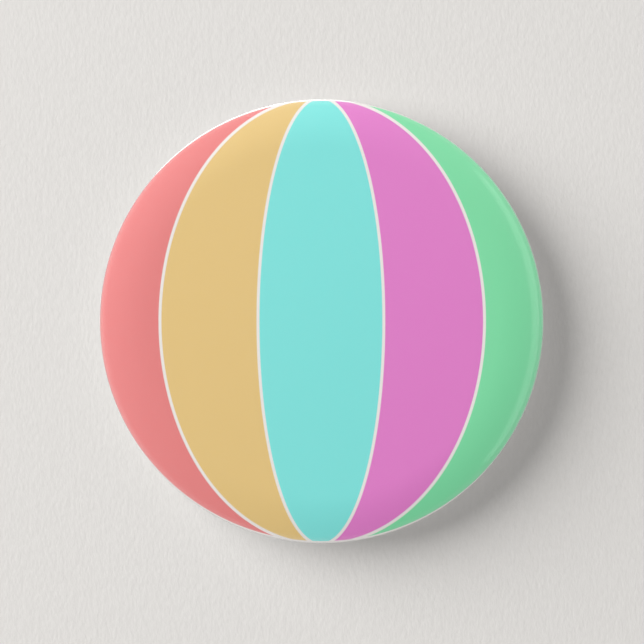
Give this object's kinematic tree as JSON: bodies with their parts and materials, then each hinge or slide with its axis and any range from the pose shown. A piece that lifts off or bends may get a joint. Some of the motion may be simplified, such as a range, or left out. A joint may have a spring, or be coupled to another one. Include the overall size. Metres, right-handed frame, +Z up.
{
  "type": "pin-back button badge",
  "caption": "Round domed button badge with a printed beach ball face under clear film, curled over a pressed back plate that carries a coiled wire pin.",
  "frame": {"origin": "middle of the needle's free stretch, on the axis of the badge", "axes": "+X along the needle from the coil to the point, +Y out of the back, +Z up on the worn badge; the printed face looks along -Y"},
  "size_m": [0.0572, 0.0094, 0.0572],
  "materials": {
    "shell_tin": "cold-rolled tinplate, satin",
    "printed_paper": "printed paper: coral, sand yellow, turquoise, orchid and mint panels with white lines",
    "clear_film": "clear polyester film, satin",
    "plate_tin": "pressed tinplate, satin with fine rolling grain",
    "spring_wire": "nickel-plated spring steel wire",
    "needle_wire": "nickel-plated spring steel wire, ground point"
  },
  "bodies": {
    "badge": {"front_shell": "shell_tin", "artwork_disc": "printed_paper", "cover_film": "clear_film", "back_plate": "plate_tin", "pin_wire": "spring_wire"},
    "needle": {"pin_needle": "needle_wire"}
  },
  "joints": [
    {"name": "needle_swing", "type": "hinge", "parent": "badge", "child": "needle", "pos_m": [-0.0186, 0, 0], "axis": [0.9272, 0.3746, 0], "range_deg": [0, 120]}
  ]
}
